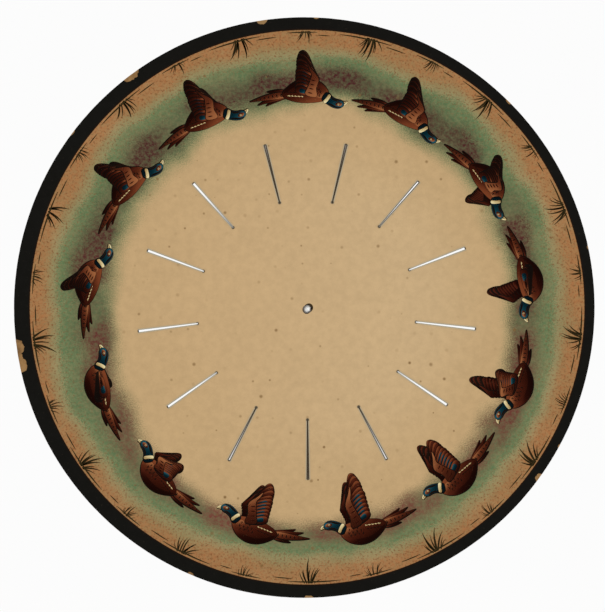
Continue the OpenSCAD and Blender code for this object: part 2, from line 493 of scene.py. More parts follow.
# Slits near this direction lie across the lamps' light and are painted as shaded.
SHADED_SLIT_WAY = math.radians(80)
SHADED_SLIT_LIMITS = (0.60, 0.72)
END_INSET = 0.15


def unshaded_share(turn):
    """1 for slits in a direction that the lamps light along, and 0 for those that are painted as shaded."""
    return rise(maths("ABSOLUTE", maths("SINE", minus(turn, SHADED_SLIT_WAY))), *SHADED_SLIT_LIMITS)


def slit_rule(place):
    """Millimetres from the nearest slit's edges, and from its ends, and whether it is painted as shaded."""
    x, y, _ = axes(place)
    turn = maths("ARCTAN2", y, x)
    radius = length(place)
    sector = math.tau / SLIT_COUNT
    from_first = plus(turn, sector / 2 - SLIT_FIRST)
    folded = minus(maths("FLOORED_MODULO", from_first, sector), sector / 2)
    along = times(radius, maths("COSINE", folded))
    across = maths("ABSOLUTE", times(radius, maths("SINE", folded)))
    inner, outer = SLIT_INNER_RADIUS / MM, (SLIT_INNER_RADIUS + SLIT_LENGTH) / MM
    halves = {3: SLIT_INNER_WIDTH / MM / 2, 4: SLIT_OUTER_WIDTH / MM / 2}
    half = put("ShaderNodeMapRange", {0: along, 1: inner, 2: outer, **halves})[0]
    short = larger(minus(inner, along), minus(along, outer))
    beside = larger(minus(across, half), short)
    return beside, length(point(across, plus(short, END_INSET))), minus(1.0, unshaded_share(turn))


slit_edges = effect("slit_edges", slit_rule, {"value": "Beside, Beyond, Soiled"}, place="Place")
print("effect:", slit_edges.name, " slits:", SLIT_COUNT)

# %% [markdown]
# The face's material lays the marks of the slits over the printed ground: a faint darkening along the
# edges, part dirt and part painted shade, a pale bruise, and the dark ends, which are painted shade. The
# paper's tooth gives it a bump, and makes it a little less matt where the fibres lie flat.

# %% Printed face


def print_places(tree):
    """Places on the print in millimetres from its own centre, flattened."""
    return places_mm(tree, 0, (-PRINT_CENTRE[0], -PRINT_CENTRE[1], 0))


def face_look(tree):
    place = print_places(tree)
    edges = used(slit_edges, Place=places_mm(tree, 0))
    ground = layered(
        used(printed_ground, Place=place)["Colour"],
        # The darkening along the slit edges is part dirt and part painted shade; the dark at the ends is
        # painted shade.
        (fall(edges["Beside"], 0.1, 1.1), spread(clouds(place, 0.8), 0.0, 0.25), (120, 96, 62)),
        (fall(edges["Beside"], 0.05, 0.55), 0.85, (172, 164, 142)),
        (fall(edges["Beyond"], 0.35, 0.85), 0.9, (40, 30, 18)))
    tooth = used(paper_tooth, Place=place)
    return dict(Base_Color=ground, Roughness=spread(tooth["Mottle"], 0.95, 0.7), Specular_IOR_Level=0.06,
                Normal=bumped(tooth["Height"], 0.25, 0.04))


printed_face = new_material("printed_face", face_look)

# %% [markdown]
# ## Pasteboard and lining
# The core is pasteboard: grey-brown sheets pasted together, which show as fine layers along the cut edge
# and as bare tan felt where the face is chipped. The back is lined with thin black paper, because it is
# looked at from that side, and the black keeps stray light out of the eyes. Hands have scuffed it.

# %% Pasteboard and lining


def pasteboard_look(tree):
    place = places_mm(tree)
    tooth = used(paper_tooth, Place=place)
    layers = clouds(place, 1.0, 2.0, 0.6, stretch=(0.05, 0.05, 7.0))
    edges = used(slit_edges, Place=mapped(place, (1, 1, 0)))
    # Painted shade: the frayed card inside the slits that lie across the lamps' light is painted dark.
    shaded_ledge = times(edges["Soiled"], fall(edges["Beside"], -0.12, 0.0))
    board = layered(
        over(tooth["Mottle"], (112, 80, 46), (170, 132, 86)),
        (rise(layers, 0.42, 0.6), 1.0, (150, 118, 78)),
        (rise(clouds(place, 0.25, 3.0), 0.5, 0.75), 0.55, (84, 58, 34)),
        (fall(edges["Beside"], 0.1, 0.4), 0.9, over(shaded_ledge, (158, 151, 130), (52, 38, 22))))
    return dict(Base_Color=board, Roughness=0.95, Specular_IOR_Level=0.1,
                Normal=bumped(plus(tooth["Height"], layers), 0.5, 0.12))


def lining_look(tree):
    place = places_mm(tree, 0)
    tooth = used(paper_tooth, Place=place)
    nap = rise(clouds(place, 1.1, 4.0, 0.7), 0.46, 0.68)
    rubbed = times(rise(clouds(place, 0.035, 3.0, 0.6), 0.42, 0.72), nap)
    x, y, _ = axes(place)
    turn = maths("ARCTAN2", y, x)
    ringed = point(length(place), maths("SINE", turn), maths("COSINE", turn))
    scratches = rise(clouds(ringed, 1.0, 3.0, 0.7, stretch=(1.3, 2.2, 2.2)), 0.66, 0.73)
    cut = plus(used(slit_edges, Place=place)["Beside"], spread(nap, 0.0, 0.25))
    out = length(places_mm(tree, 0, (-disc_centre.x / MM, -disc_centre.y / MM, 0)))
    frayed = plus(out, spread(clouds(place, 0.5, 3.0), -3.0, 3.0))
    worn = layered(
        over(tooth["Mottle"], (24, 21, 19), (50, 45, 40)),
        (rubbed, 0.6, (98, 84, 68)),
        (scratches, 0.3, (116, 100, 80)),
        (fall(cut, 0.1, 0.4), 0.7, (120, 96, 64)),
        (rise(frayed, disc_radius / MM - 1.2, disc_radius / MM + 0.6), 1.0, (128, 98, 62)))
    return dict(Base_Color=worn, Roughness=spread(rubbed, 0.85, 0.6), Specular_IOR_Level=0.2,
                Normal=bumped(tooth["Height"], 0.35, 0.05))


pasteboard = new_material("pasteboard", pasteboard_look)
lining_paper = new_material("lining_paper", lining_look)

# %% [markdown]
# ## The three layers of the disc
# Face, pasteboard and lining have the same slits and the same hole, so one Geometry Nodes tree makes all
# three from a drawn outline, which is where the wear is. The outline is drawn in Python: a circle that is
# slightly uneven, with bites where the paper has chipped off the edge, and a hole that the spindle has worn
# towards one side. The face's paper reaches a little further into the hole than the card does.

# %% Worn outlines
RIM_POINTS = 1440
HOLE_POINTS = 64
HOLE_RADIUS = 2.0 * MM
PAPER_HOLE_RADIUS = 1.72 * MM
HOLE_REACH = 2.85 * MM
HOLE_WEAR_ANGLE = math.radians(42)
RAGGED = 0.12 * MM
FRAY_PACE = 40
TEARS = [
    # size, pace and layer of the noise that tears the floor of a chip
    (0.3, 260, 0),
    (0.12, 900, 5),
]
FACE_CHIPS = [
    # direction in degrees, half length and depth in mm
    (187.9, 2.9, 2.9),
    (191.5, 3.3, 2.7),
    (189.7, 6.0, 1.6),
    (126.6, 3.4, 2.1),
    (98.3, 2.2, 1.5),
    (87.6, 1.0, 0.6),
    (45.2, 1.4, 0.7),
    (324.1, 1.7, 1.5),
    (331.5, 0.9, 0.5),
    (12.0, 0.8, 0.5),
    (246.9, 1.2, 0.9),
    (270.9, 1.8, 0.9),
    (143.0, 1.1, 0.5),
]
BACK_CHIPS = [(31.0, 2.6, 1.8), (74.0, 1.2, 0.8), (161.0, 1.8, 1.0), (213.0, 3.0, 2.2), (296.0, 1.4, 0.9)]


def chip_depth(angle, chips):
    """How far the edge is bitten away in this direction, with a torn floor to each bite."""
    deepest = 0.0
    for at, half, depth in chips:
        off = math.remainder(angle - math.radians(at), math.tau) * disc_radius / (half * MM)
        tear = sum(size * noise.noise(Vector((angle * pace, at, layer))) for size, pace, layer in TEARS)
        share = 1 - abs(off + tear) ** 3
        if share > 0:
            deepest = max(deepest, depth * MM * share ** 0.5 * (1 + 0.8 * tear))
    return deepest


def worn_outline(name, chips, ragged, seed, hole_radius):
    """Two closed rings of edges: the disc's uneven outline, and its worn hole."""
    def rim_radius(angle):
        around = Vector((math.cos(angle) * FRAY_PACE, math.sin(angle) * FRAY_PACE, seed))
        return disc_radius - ragged * abs(noise.noise(around)) - chip_depth(angle, chips)

    def worn_radius(angle):
        return hole_radius + (HOLE_REACH - hole_radius) * max(0, math.cos(angle - HOLE_WEAR_ANGLE)) ** 2

    points, edges = [], []
    drawn = ((RIM_POINTS, disc_centre, rim_radius), (HOLE_POINTS, Vector(), worn_radius))
    for count, centre, radius_at in drawn:
        first = len(points)
        for i in range(count):
            angle = math.tau * i / count
            radius = radius_at(angle)
            points.append((centre.x + radius * math.cos(angle), centre.y + radius * math.sin(angle), 0))
            edges.append((first + i, first + (i + 1) % count))
    return new_mesh(name, points, [], edges)


print("chips in the face:", len(FACE_CHIPS), " in the lining:", len(BACK_CHIPS))

# %% [markdown]
# Every Geometry Nodes tree here ends in the same way, in real geometry with flat faces and its material,
# and is run on a worker object. The result is kept as a plain mesh, so nothing is left to be worked out
# later.

# %% Shape trees


def shape_tree(name, rule, **inputs):
    """A Geometry Nodes tree. Its rule takes a copy's number and the inputs in order, and returns a shape."""
    sockets = {**inputs, "material": "Material"}
    tree, given, gives = new_group("GeometryNodeTree", name, {"shape": "Shape"}, **sockets)
    index = put("GeometryNodeInputIndex", {}, tree)[0]
    *values, material = [socket for socket in given if socket.name]
    real = put("GeometryNodeRealizeInstances", {0: rule(index, *values)})[0]
    flat = put("GeometryNodeSetShadeSmooth", {"Geometry": real, "Shade Smooth": False})[0]
    link(put("GeometryNodeSetMaterial", {"Geometry": flat, "Material": material})[0], gives[0])
    print("tree:", name, " nodes:", len(tree.nodes))
    return tree


def joined(*shapes):
    node = shapes[0].id_data.nodes.new("GeometryNodeJoinGeometry")
    for shape in shapes:
        link(shape, node.inputs[0])
    return node.outputs[0]


def set_out(count, shape, turn, at=(0, 0, 0), size=(1, 1, 1)):
    """Copies of a shape, each with its own turn, place and size."""
    points = put("GeometryNodePoints", {"Count": count, "Position": at})[0]
    values = {"Points": points, "Instance": shape, "Rotation": turn, "Scale": size}
    return put("GeometryNodeInstanceOnPoints", values)[0]


def grown(name, mesh, tree, **values):
    """Runs a Geometry Nodes tree on a mesh and keeps the result as a plain object."""
    worker = new_object(name + "_worker", mesh)
    modifier = worker.modifiers.new("shape", "NODES")
    modifier.node_group = tree
    sockets = {item.name: item.identifier for item in tree.interface.items_tree if item.in_out == "INPUT"}
    for key, value in values.items():
        modifier[sockets[key.replace("_", " ")]] = value
    result = bpy.data.meshes.new_from_object(worker.evaluated_get(bpy.context.evaluated_depsgraph_get()))
    worker.modifiers.remove(modifier)
    bpy.data.objects.remove(worker)
    result.name = name
    return new_object(name, result)


print("helpers:", ", ".join(each.__name__ for each in (shape_tree, joined, set_out, grown)))

# %% [markdown]
# The disc's own tree adds a ring of slits to the outline by rule, fills what lies between and gives it
# thickness.

# %% Slit disc tree
MERGE_REACH = 1e-7


def thickened(flat, thickness):
    """A closed slab from a flat shape: its own faces turned down, and a raised copy with its sides."""
    lift = point(z=thickness)
    raised = put("GeometryNodeExtrudeMesh", {"Mesh": flat, "Offset": lift, "Individual": False})[0]
    under = put("GeometryNodeFlipFaces", {0: flat})[0]
    both = joined(under, raised)
    return put("GeometryNodeMergeByDistance", {"Geometry": both, "Distance": MERGE_REACH})[0]


def share_of_turn(number, count):
    """The direction of one of so many equal steps round the axis."""
    return times(number, maths("DIVIDE", math.tau, count))


def slit_disc_rule(index, outline, count, first, inner, long, inner_width, outer_width, soiled, foot, thick):
    outer = plus(inner, long)
    near, far = (inner, inner_width), (outer, outer_width)
    ends = [(*near, -0.5), (*far, -0.5), (*far, 0.5), (*near, 0.5)]
    corners = [point(radius, times(width, side)) for radius, width, side in ends]
    named = {f"Point {number}": corner for number, corner in enumerate(corners, 1)}
    slit = put("GeometryNodeCurvePrimitiveQuadrilateral", named, mode="POINTS")[0]
    turn = plus(first, share_of_turn(index, count))
    # The card is cut narrower in the slits that are painted as shaded.
    narrowed = spread(unshaded_share(turn), soiled, 1.0)
    ring = set_out(count, slit, point(z=turn), size=point(1.0, narrowed, 1.0))
    slits = put("GeometryNodeRealizeInstances", {0: ring})[0]
    rims = put("GeometryNodeMeshToCurve", {0: outline})[0]
    sheet = put("GeometryNodeFillCurve", {0: joined(rims, slits)}, mode="TRIANGLES")[0]
    placed = put("GeometryNodeSetPosition", {"Geometry": sheet, "Offset": point(z=foot)})[0]
    return thickened(placed, thick)


slit_disc_tree = shape_tree(
    "slit_disc", slit_disc_rule, shape="Outline", count="Slit Count",
    value="First Angle, Inner Radius, Slit Length, Inner Width, Outer Width, Soiled Share, Foot, Thickness")

# %% [markdown]
# The printed face stops a hair below the frame's own face, so that the films of ink laid on it end exactly
# there. The card reaches a little further into the slits than the papers do, and most of all in the slits
# that are painted as shaded. Each layer then rides on the disc and stands for its solid.

# %% Disc layers
INK_FILM = 0.05 * MM
FRAYED_SHARE = 0.66
SHADED_SLIT_SHARE = 0.62


def hand_over(piece, body, slot, *nodes):
    """Lets a finished piece ride on a body and has it stand for its solids. Its slot is not used."""
    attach(piece, body)
    if nodes:
        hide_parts(*nodes)
    print(piece.name, "faces:", len(piece.data.polygons))


def disc_layer(node, chips, ragged, seed, material, slot, film=0.0, hole=HOLE_RADIUS, slit=1.0, soiled=1.0):
    """One layer, with the film that is left free above it, its hole and the shares of its slits' width."""
    low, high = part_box(node)
    outline = worn_outline(node + "_outline", chips, ragged, seed, hole)
    hand_over(grown(
        node + "_sheet", outline, slit_disc_tree, Slit_Count=SLIT_COUNT, First_Angle=SLIT_FIRST,
        Inner_Radius=SLIT_INNER_RADIUS, Slit_Length=SLIT_LENGTH, Inner_Width=slit * SLIT_INNER_WIDTH,
        Outer_Width=slit * SLIT_OUTER_WIDTH, Soiled_Share=soiled, Foot=low.z,
        Thickness=high.z - low.z - film, Material=material), "disc", slot, node)


disc_layer("face_print", FACE_CHIPS, RAGGED, 1, printed_face, "printed_paper", INK_FILM, PAPER_HOLE_RADIUS)
disc_layer("card_core", [], 0.5 * RAGGED, 2, pasteboard, "pasteboard",
           slit=FRAYED_SHARE, soiled=SHADED_SLIT_SHARE)
disc_layer("back_lining", BACK_CHIPS, RAGGED, 3, lining_paper, "lining_paper")

# %% [markdown]
# ## Drawing the birds
# Thirteen game birds fly round the disc, each at the next stage of a wing beat, so that one bird seems to
# fly on the spot when the disc spins. They are drawn as a printer would cut them: flat shapes of a few
# inks, laid one over another, with black line round each. Points are complex numbers, because turning,
# moving and mirroring a shape is then plain arithmetic. Units are millimetres, with the bird flying along
# the real axis.

# %% Curves
LINE_STEPS = 3


def unit(way):
    return way / (abs(way) or 1.0)


def between(a, b, t):
    return a + (b - a) * t


def through(points, steps):
    """A smooth curve through all points but the first and the last, which only give it a direction."""
    curve = []
    for a, b, c, d in zip(points, points[1:], points[2:], points[3:]):
        slope, bow, twist = c - a, 2 * a - 5 * b + 4 * c - d, 3 * b - a - 3 * c + d
        shares = [step / steps for step in range(steps)]
        curve += [0.5 * (2 * b + slope * t + bow * t ** 2 + twist * t ** 3) for t in shares]
    return curve


def smooth_loop(points, steps=4):
    """A closed curve through the points."""
    return through([points[-1], *points, *points[:2]], steps)


def smooth_line(points):
    """An open curve through the points."""
    before, after = 2 * points[0] - points[1], 2 * points[-1] - points[-2]
    return [*through([before, *points, after], LINE_STEPS), points[-1]]


def signed_area(loop):
    return 0.5 * sum((a.conjugate() * b).imag for a, b in zip(loop, loop[1:] + loop[:1]))


def widened(loop, by):
    """The loop moved outwards all round."""
    side = 1j if signed_area(loop) < 0 else -1j
    count = len(loop)
    return [each + side * by * unit(loop[(i + 1) % count] - loop[i - 1]) for i, each in enumerate(loop)]


print("a test loop has", len(smooth_loop([1, 1j, -1, -1j])), "points")

# %% [markdown]
# Everything on a bird is a pen line, a feather or a plain shape with a black line round it.

# %% Pen and scissors
LINE = 0.30
FINE_END = 0.25
LIGHT_WAY = cmath.exp(1j * math.radians(68))
SHADE_LINE = 0.16
ROUND_TIP = ((0.0, 0.25), (0.35, 0.42), (0.7, 0.5), (0.9, 0.4), (0.98, 0.18))
LONG_TIP = ((0.0, 0.3), (0.25, 0.5), (0.55, 0.42), (0.85, 0.18), (0.99, 0.03))


def ribbon(middles, sides):
    """A loop along a middle line, with the step from each of its points to the left edge."""
    pairs = list(zip(middles, sides))
    return [middle + side for middle, side in pairs] + [middle - side for middle, side in reversed(pairs)]


def pen_stroke(points, widest):
    """A pen line that swells in the middle and is fine at its ends."""
    line = smooth_line(points)
    last = len(line) - 1
    ways = [unit(line[min(i + 1, last)] - line[max(i - 1, 0)]) for i in range(last + 1)]
    swell = [math.sin(math.pi * i / last) for i in range(last + 1)]
    halves = [widest / 2 * (FINE_END + (1 - FINE_END) * share) for share in swell]
    return ribbon(line, [1j * way * half for way, half in zip(ways, halves)])


def bent(base, tip, bend, t):
    """A point along a feather that bends to its left."""
    return base + (tip - base) * t + 1j * unit(tip - base) * bend * 4 * t * (1 - t)


def feather(base, tip, width, bend=0.0, shape=ROUND_TIP):
    """A feather whose shape gives half its width at places along it."""
    side = 1j * unit(tip - base)
    middles = [bent(base, tip, bend, t) for t, _ in shape]
    return smooth_loop(ribbon(middles, [side * half * width for _, half in shape]), 2)


def outlined(ink, loop, line=LINE):
    """A shape in its ink, over a larger one in black that lies a little away from the light."""
    yield "black", [each - SHADE_LINE * LIGHT_WAY for each in widened(loop, line)]
    yield ink, loop


print("a test feather has", len(feather(0, 10, 3)), "points")

# %% [markdown]
# ### Wings
# A wing is an arm from the shoulder to the wrist and a hand from the wrist to the tip, with long feathers
# fanned from the hand and shorter ones along the arm. Three poses are drawn, raised, level and lowered, and
# every stage of the beat lies on the smooth path through them.

# %% Wing
NEAR_WING = {
    "wrist": (1.4 + 9.0j, 3.0 - 1.2j, 2.0 - 7.0j),
    "tip": (-4.2 + 22.0j, -9.0 - 5.6j, -4.4 - 19.0j),
    "back": (-7.6 + 3.6j, -8.0 - 1.0j, -7.6 - 2.4j),
    "trail": (-1.0 + 0.34j, -1.0 - 0.12j, -1.0 - 0.30j),
}
FAR_WING = {
    "wrist": (1.8 + 9.0j, 3.0 + 2.8j, 2.0 - 6.0j),
    "tip": (-3.0 + 22.0j, -6.5 + 9.0j, -4.0 - 18.0j),
    "back": (-7.6 + 3.6j, -7.0 + 1.6j, -7.6 - 2.0j),
    "trail": (-1.0 + 0.34j, -1.0 + 0.25j, -1.0 - 0.28j),
}
HAND_FEATHERS = 7
ARM_FEATHERS = 6
FEATHER_WIDTH = 3.2
WING_CHORD = 10.4


def at_stage(raised, level, lowered, beat):
    """A wing point at a stage of the beat: 1 is raised, 0 is level and -1 is lowered."""
    return level + beat * (raised - lowered) / 2 + beat ** 2 * ((raised + lowered) / 2 - level)


def draw_wing(shoulder, beat, size, inks, poses):
    quill, vane, cover, patch = inks
    wrist, tip, back = (shoulder + size * at_stage(*poses[key], beat) for key in ("wrist", "tip", "back"))
    trail = unit(at_stage(*poses["trail"], beat))
    hand = tip - wrist
    inner = unit(between(trail, unit(hand), 0.42))
    chord = WING_CHORD * size
    width = FEATHER_WIDTH * size
    for i in range(HAND_FEATHERS):
        t = i / (HAND_FEATHERS - 1)
        base = between(wrist + 0.42 * hand, wrist, t)
        long = between(0.60 * abs(hand), chord, t) * (1 + 0.06 * math.sin(math.pi * t))
        reach = unit(between(unit(hand), inner, t)) * long
        yield from outlined(quill if i % 2 else vane, feather(base, base + reach, width, 0.25))
        shaft = [base + reach * share for share in (0.35, 0.6, 0.9)]
        yield "black" if i % 2 else quill, pen_stroke(shaft, 0.3)
    last = wrist + unit(between(trail, inner, 0.6)) * chord * 0.98
    for i in range(ARM_FEATHERS):
        t = (i + 0.3) / ARM_FEATHERS
        base = between(wrist, shoulder, t)
        end = between(last, back, t)
        yield from outlined(vane, feather(base, end, width, 0.2))
        yield patch, feather(between(base, end, 0.4), between(base, end, 0.8), 1.9 * size, 0.05)
    yield from outlined(cover, smooth_loop([
        shoulder + 1.0 + 0.1j, between(shoulder, wrist, 0.5), wrist + 0.5 * unit(wrist - shoulder),
        wrist + 0.38 * hand, wrist + 0.60 * hand + 0.2 * trail, wrist + 0.28 * hand + 2.0 * size * inner,
        wrist + 3.2 * size * inner, between(shoulder, wrist, 0.45) + 3.4 * size * trail,
        shoulder + 3.6 * size * trail,
    ]))
    for t in (0.15, 0.4, 0.65, 0.9):
        start = between(shoulder, wrist, t) + 0.9 * size * trail
        yield quill, pen_stroke([start, start + trail, start + 2 * trail], 0.5)


print("feathers on a wing:", HAND_FEATHERS + ARM_FEATHERS)

# %% [markdown]
# ### The whole bird
# From back to front: the tail with its bars, the far wing, the body with its dark belly and scaled breast,
# the head with its collar, and the near wing.

# %% Shapes of the bird
TAIL_ROOT = -6.8 + 0.7j
LONG_FEATHER = -23.2 + 3.2j
TAIL = [
    (-16.5 + 5.2j, 2.2, "umber"),
    (-16.0 - 0.6j, 2.2, "umber"),
    (-20.0 + 4.8j, 2.3, "chestnut"),
    (LONG_FEATHER, 2.6, "russet"),
]
TAIL_BEND = 0.5
TAIL_BARS = 7
FIRST_BAR = 0.2
BAR_STEP = 0.105
BODY = [
    # ink, width of the black line round it, corners
    ("chestnut", LINE, [
        9.6 + 1.7j, 8.9 - 1.2j, 6.0 - 4.1j, 1.4 - 5.6j, -3.6 - 4.8j, -8.0 - 1.9j, -9.8 + 0.7j, -7.4 + 2.8j,
        -2.0 + 4.2j, 4.0 + 4.3j, 7.6 + 3.6j]),
    ("umber", 0, [
        8.0 - 1.8j, 5.6 - 4.1j, 1.4 - 5.55j, -3.6 - 4.75j, -8.0 - 1.9j, -9.0 + 0.2j, -5.6 - 1.8j,
        -1.6 - 3.1j, 3.2 - 3.0j, 6.4 - 1.8j]),
    ("russet", 0, [7.6 + 2.4j, 8.2 + 0.8j, 6.6 - 0.9j, 3.6 - 1.3j, 2.2 + 0.2j, 4.4 + 2.2j]),
]
BREAST_SCALES = [(2.6 + 1.6j, 3), (1.4 + 0.2j, 4), (0.8 - 1.1j, 4)]
SCALE_STEP = 1.75
FLANK_MARKS = 5
FLANK_FIRST = -1.6 + 1.6j
FLANK_STEP = 1.35 + 0.12j
EYE = 13.4 + 5.45j
HEAD = [
    ("cream", 0.2, [15.0 + 6.0j, 16.2 + 5.8j, 17.3 + 5.0j, 17.2 + 4.4j, 16.3 + 4.5j, 15.2 + 4.4j]),
    ("teal", LINE, [
        6.8 + 3.3j, 8.7 + 5.1j, 11.2 + 6.7j, 13.5 + 7.2j, 15.3 + 6.4j, 15.7 + 5.1j, 14.7 + 4.0j, 12.7 + 3.4j,
        11.1 + 2.4j, 9.9 + 0.9j, 8.3 + 0.8j]),
    ("black", 0, [8.9 + 4.9j, 11.4 + 6.6j, 13.4 + 7.1j, 14.6 + 6.7j, 12.6 + 6.3j, 10.6 + 5.2j]),
    ("black", 0, [10.2 + 1.4j, 11.4 + 2.9j, 13.0 + 3.6j, 14.4 + 4.1j, 12.9 + 4.3j, 11.0 + 3.4j]),
    ("cream", 0.18, [7.2 + 3.9j, 8.2 + 4.7j, 10.3 + 2.3j, 10.0 + 1.2j, 9.3 + 1.5j, 8.4 + 2.8j]),
    ("russet", 0, [12.3 + 5.8j, 14.2 + 6.2j, 15.1 + 5.3j, 13.9 + 4.6j, 12.5 + 4.9j]),
    ("cream", 0, [EYE + 0.4 * way for way in (1, 1j, -1, -1j)]),
    ("black", 0, [EYE + 0.23 * way for way in (1, 1j, -1, -1j)]),
]
BEAK_LINE = [15.3 + 5.2j, 16.2 + 5.1j, 17.0 + 4.75j]
FAR_WING_LOOK = (0.84, ("black", "umber", "umber", "umber"), FAR_WING)
NEAR_WING_LOOK = (1.0, ("umber", "chestnut", "russet", "teal"), NEAR_WING)
FAR_SHOULDER = 5.4 + 2.9j
NEAR_SHOULDER = 3.4 + 1.9j
print("plain shapes:", len(BODY) + len(HEAD), " tail feathers:", len(TAIL))

# %% [markdown]
# Each function below lays down one part of the bird, shape by shape. Bars, scales and marks follow a rule.

# %% Draw the bird


def draw_shapes(rows):
    for ink, line, corners in rows:
        loop = smooth_loop(corners)
        yield from outlined(ink, loop, line) if line else [(ink, loop)]


def draw_tail():
    for end, width, ink in TAIL:
        yield from outlined(ink, feather(TAIL_ROOT, end, width, TAIL_BEND, LONG_TIP))
    side = 1j * unit(LONG_FEATHER - TAIL_ROOT)
    for i in range(TAIL_BARS):
        t = FIRST_BAR + BAR_STEP * i
        middle = bent(TAIL_ROOT, LONG_FEATHER, TAIL_BEND, t)
        half = 0.95 - 0.75 * t
        yield "black", pen_stroke([middle + side * half, middle - 0.25, middle - side * half], 0.5)


def draw_marks():
    """Scales on the breast and pale and dark marks on the flank."""
    for first, count in BREAST_SCALES:
        for k in range(count):
            at = first + SCALE_STEP * k
            yield "black", pen_stroke([at - 0.15 + 0.55j, at - 0.5, at - 0.15 - 0.55j], 0.4)
    for k in range(FLANK_MARKS):
        at = FLANK_FIRST - k * FLANK_STEP
        yield "cream", pen_stroke([at + 0.5 + 0.3j, at, at - 0.7 + 0.1j], 0.42)
        yield "black", pen_stroke([at + 0.3 - 1.2j, at - 0.3 - 1.5j, at - 1.0 - 1.4j], 0.36)


def draw_bird(beat, far_beat):
    """Every shape of one bird, in the order in which the inks are laid."""
    far_wing = draw_wing(FAR_SHOULDER, far_beat, *FAR_WING_LOOK)
    near_wing = draw_wing(NEAR_SHOULDER, beat, *NEAR_WING_LOOK)
    beak = ("black", pen_stroke(BEAK_LINE, 0.22))
    return [*draw_tail(), *far_wing, *draw_shapes(BODY), *draw_marks(), *draw_shapes(HEAD), beak, *near_wing]


print("shapes in one bird:", len(draw_bird(1.0, 1.0)))

# %% [markdown]
# ### Inks
# Each ink has a crayon grain with the printed ground between the grains, and pen hatching that follows the
# bird, not the disc. Two attributes that every film of ink carries steer them: the place on the bird, and
# how far each place of a shape lies towards the light. Away from the light the pen lines swell until they
# close.

# %% Ink materials
INKS = {
    # ink colour, in the shade, towards the light, share of the ground that is hidden
    "black": ((20, 12, 8), (14, 8, 6), (30, 18, 12), 0.96),
    "umber": ((38, 9, 4), (16, 3, 1), (76, 30, 17), 0.96),
    "chestnut": ((71, 26, 13), (24, 5, 2), (120, 62, 35), 0.95),
    "russet": ((100, 47, 26), (38, 11, 5), (152, 94, 57), 0.93),
    "teal": ((6, 40, 49), (2, 12, 17), (28, 78, 88), 0.96),
    "cream": ((212, 192, 140), (150, 122, 76), (226, 212, 164), 0.92),
    "reed": ((48, 40, 20), (42, 34, 17), (60, 50, 26), 0.94),
}
HATCH_PITCH = 0.62
HATCH_EDGE = 0.35
HATCH_SLANT = 0.7
HATCH_WANDER = 0.9


def hatching_rule(figure, lit):
    """Slanted pen lines that swell away from the light and fade towards it."""
    x, y, _ = axes(figure)
    wander = spread(clouds(figure, 0.35, 1.0), -HATCH_WANDER, HATCH_WANDER)
    across = plus(x, plus(times(y, HATCH_SLANT), wander))
    wave = maths("SINE", times(across, math.tau / HATCH_PITCH))
    weight = plus(spread(lit, -0.9, 1.5), spread(clouds(figure, 0.3), -0.9, 0.9))
    return rise(wave, minus(weight, HATCH_EDGE), plus(weight, HATCH_EDGE))


def carried(tree, name, field="Fac"):
    """An attribute that the mesh carries."""
    return put("ShaderNodeAttribute", {}, tree, attribute_name=name)[field]


def ink_look(tree, ink, shaded, bright, cover):
    place = print_places(tree)
    lit = carried(tree, "lit")
    lines = used(pen_hatching, Figure=carried(tree, "figure", "Vector"), Lit=lit)["Shade"]
    tone = layered(
        over(rise(lit, 0.45, 1.0), ink, bright),
        (rise(minus(1.0, lit), 0.45, 1.0), 0.7, shaded),
        (lines, 0.8, shaded))
    ground = used(printed_ground, Place=place)["Colour"]
    printed = used(crayon_grain, Place=place, Ink=tone, Ground=ground, Cover=cover)["Colour"]
    tooth = used(paper_tooth, Place=place)
    return dict(Base_Color=printed, Roughness=spread(tooth["Mottle"], 0.9, 0.6), Specular_IOR_Level=0.015,
                Normal=bumped(tooth["Height"], 0.2, 0.03))


pen_hatching = effect("pen_hatching", hatching_rule, {"value": "Shade"}, place="Figure", value="Lit")
ink_materials = {name: new_material("ink_" + name, ink_look, *row) for name, row in INKS.items()}

# %% [markdown]
# ### Printing the birds
# The shapes overlap, and overlapping films of ink would flicker. A constrained triangulation cuts all of a
# bird's shapes against each other and says which shapes each triangle lies in, so each triangle takes the
# ink that was laid last. The result is a flat mosaic, and the pieces of one ink become one thin closed
# film.

# %% Films of ink
MERGE_MM = 1e-4


def cut_mosaic(shapes):
    """Flat triangles of overlapping loops, as (number of the loop that was laid last, three points)."""
    points, loops = [], []
    for loop in shapes:
        start = len(points)
        forward = loop if signed_area(loop) > 0 else loop[::-1]
        points.extend(Vector((each.real, each.imag)) for each in forward)
        loops.append(list(range(start, len(points))))
    places, _, triangles, _, _, inside = geometry.delaunay_2d_cdt(points, [], loops, 1, MERGE_MM)
    for corners, layers in zip(triangles, inside):
        if layers:
            yield max(layers), [complex(*places[corner]) for corner in corners]


def slab(places, faces, foot, top):
    """Corners and faces of a closed film: flat faces below and above, and sides along the open edges."""
    count = len(places)
    verts = [(x, y, z) for z in (foot, top) for x, y in places]
    edges = {edge for face in faces for edge in zip(face, [*face[1:], face[0]])}
    sides = [(a, b, b + count, a + count) for a, b in sorted(edges) if (b, a) not in edges]
    tops = [[corner + count for corner in face] for face in faces]
    return verts, [face[::-1] for face in faces] + tops + sides


def carry(mesh, name, kind, domain, field, values):
    mesh.attributes.new(name, kind, domain).data.foreach_set(field, values)


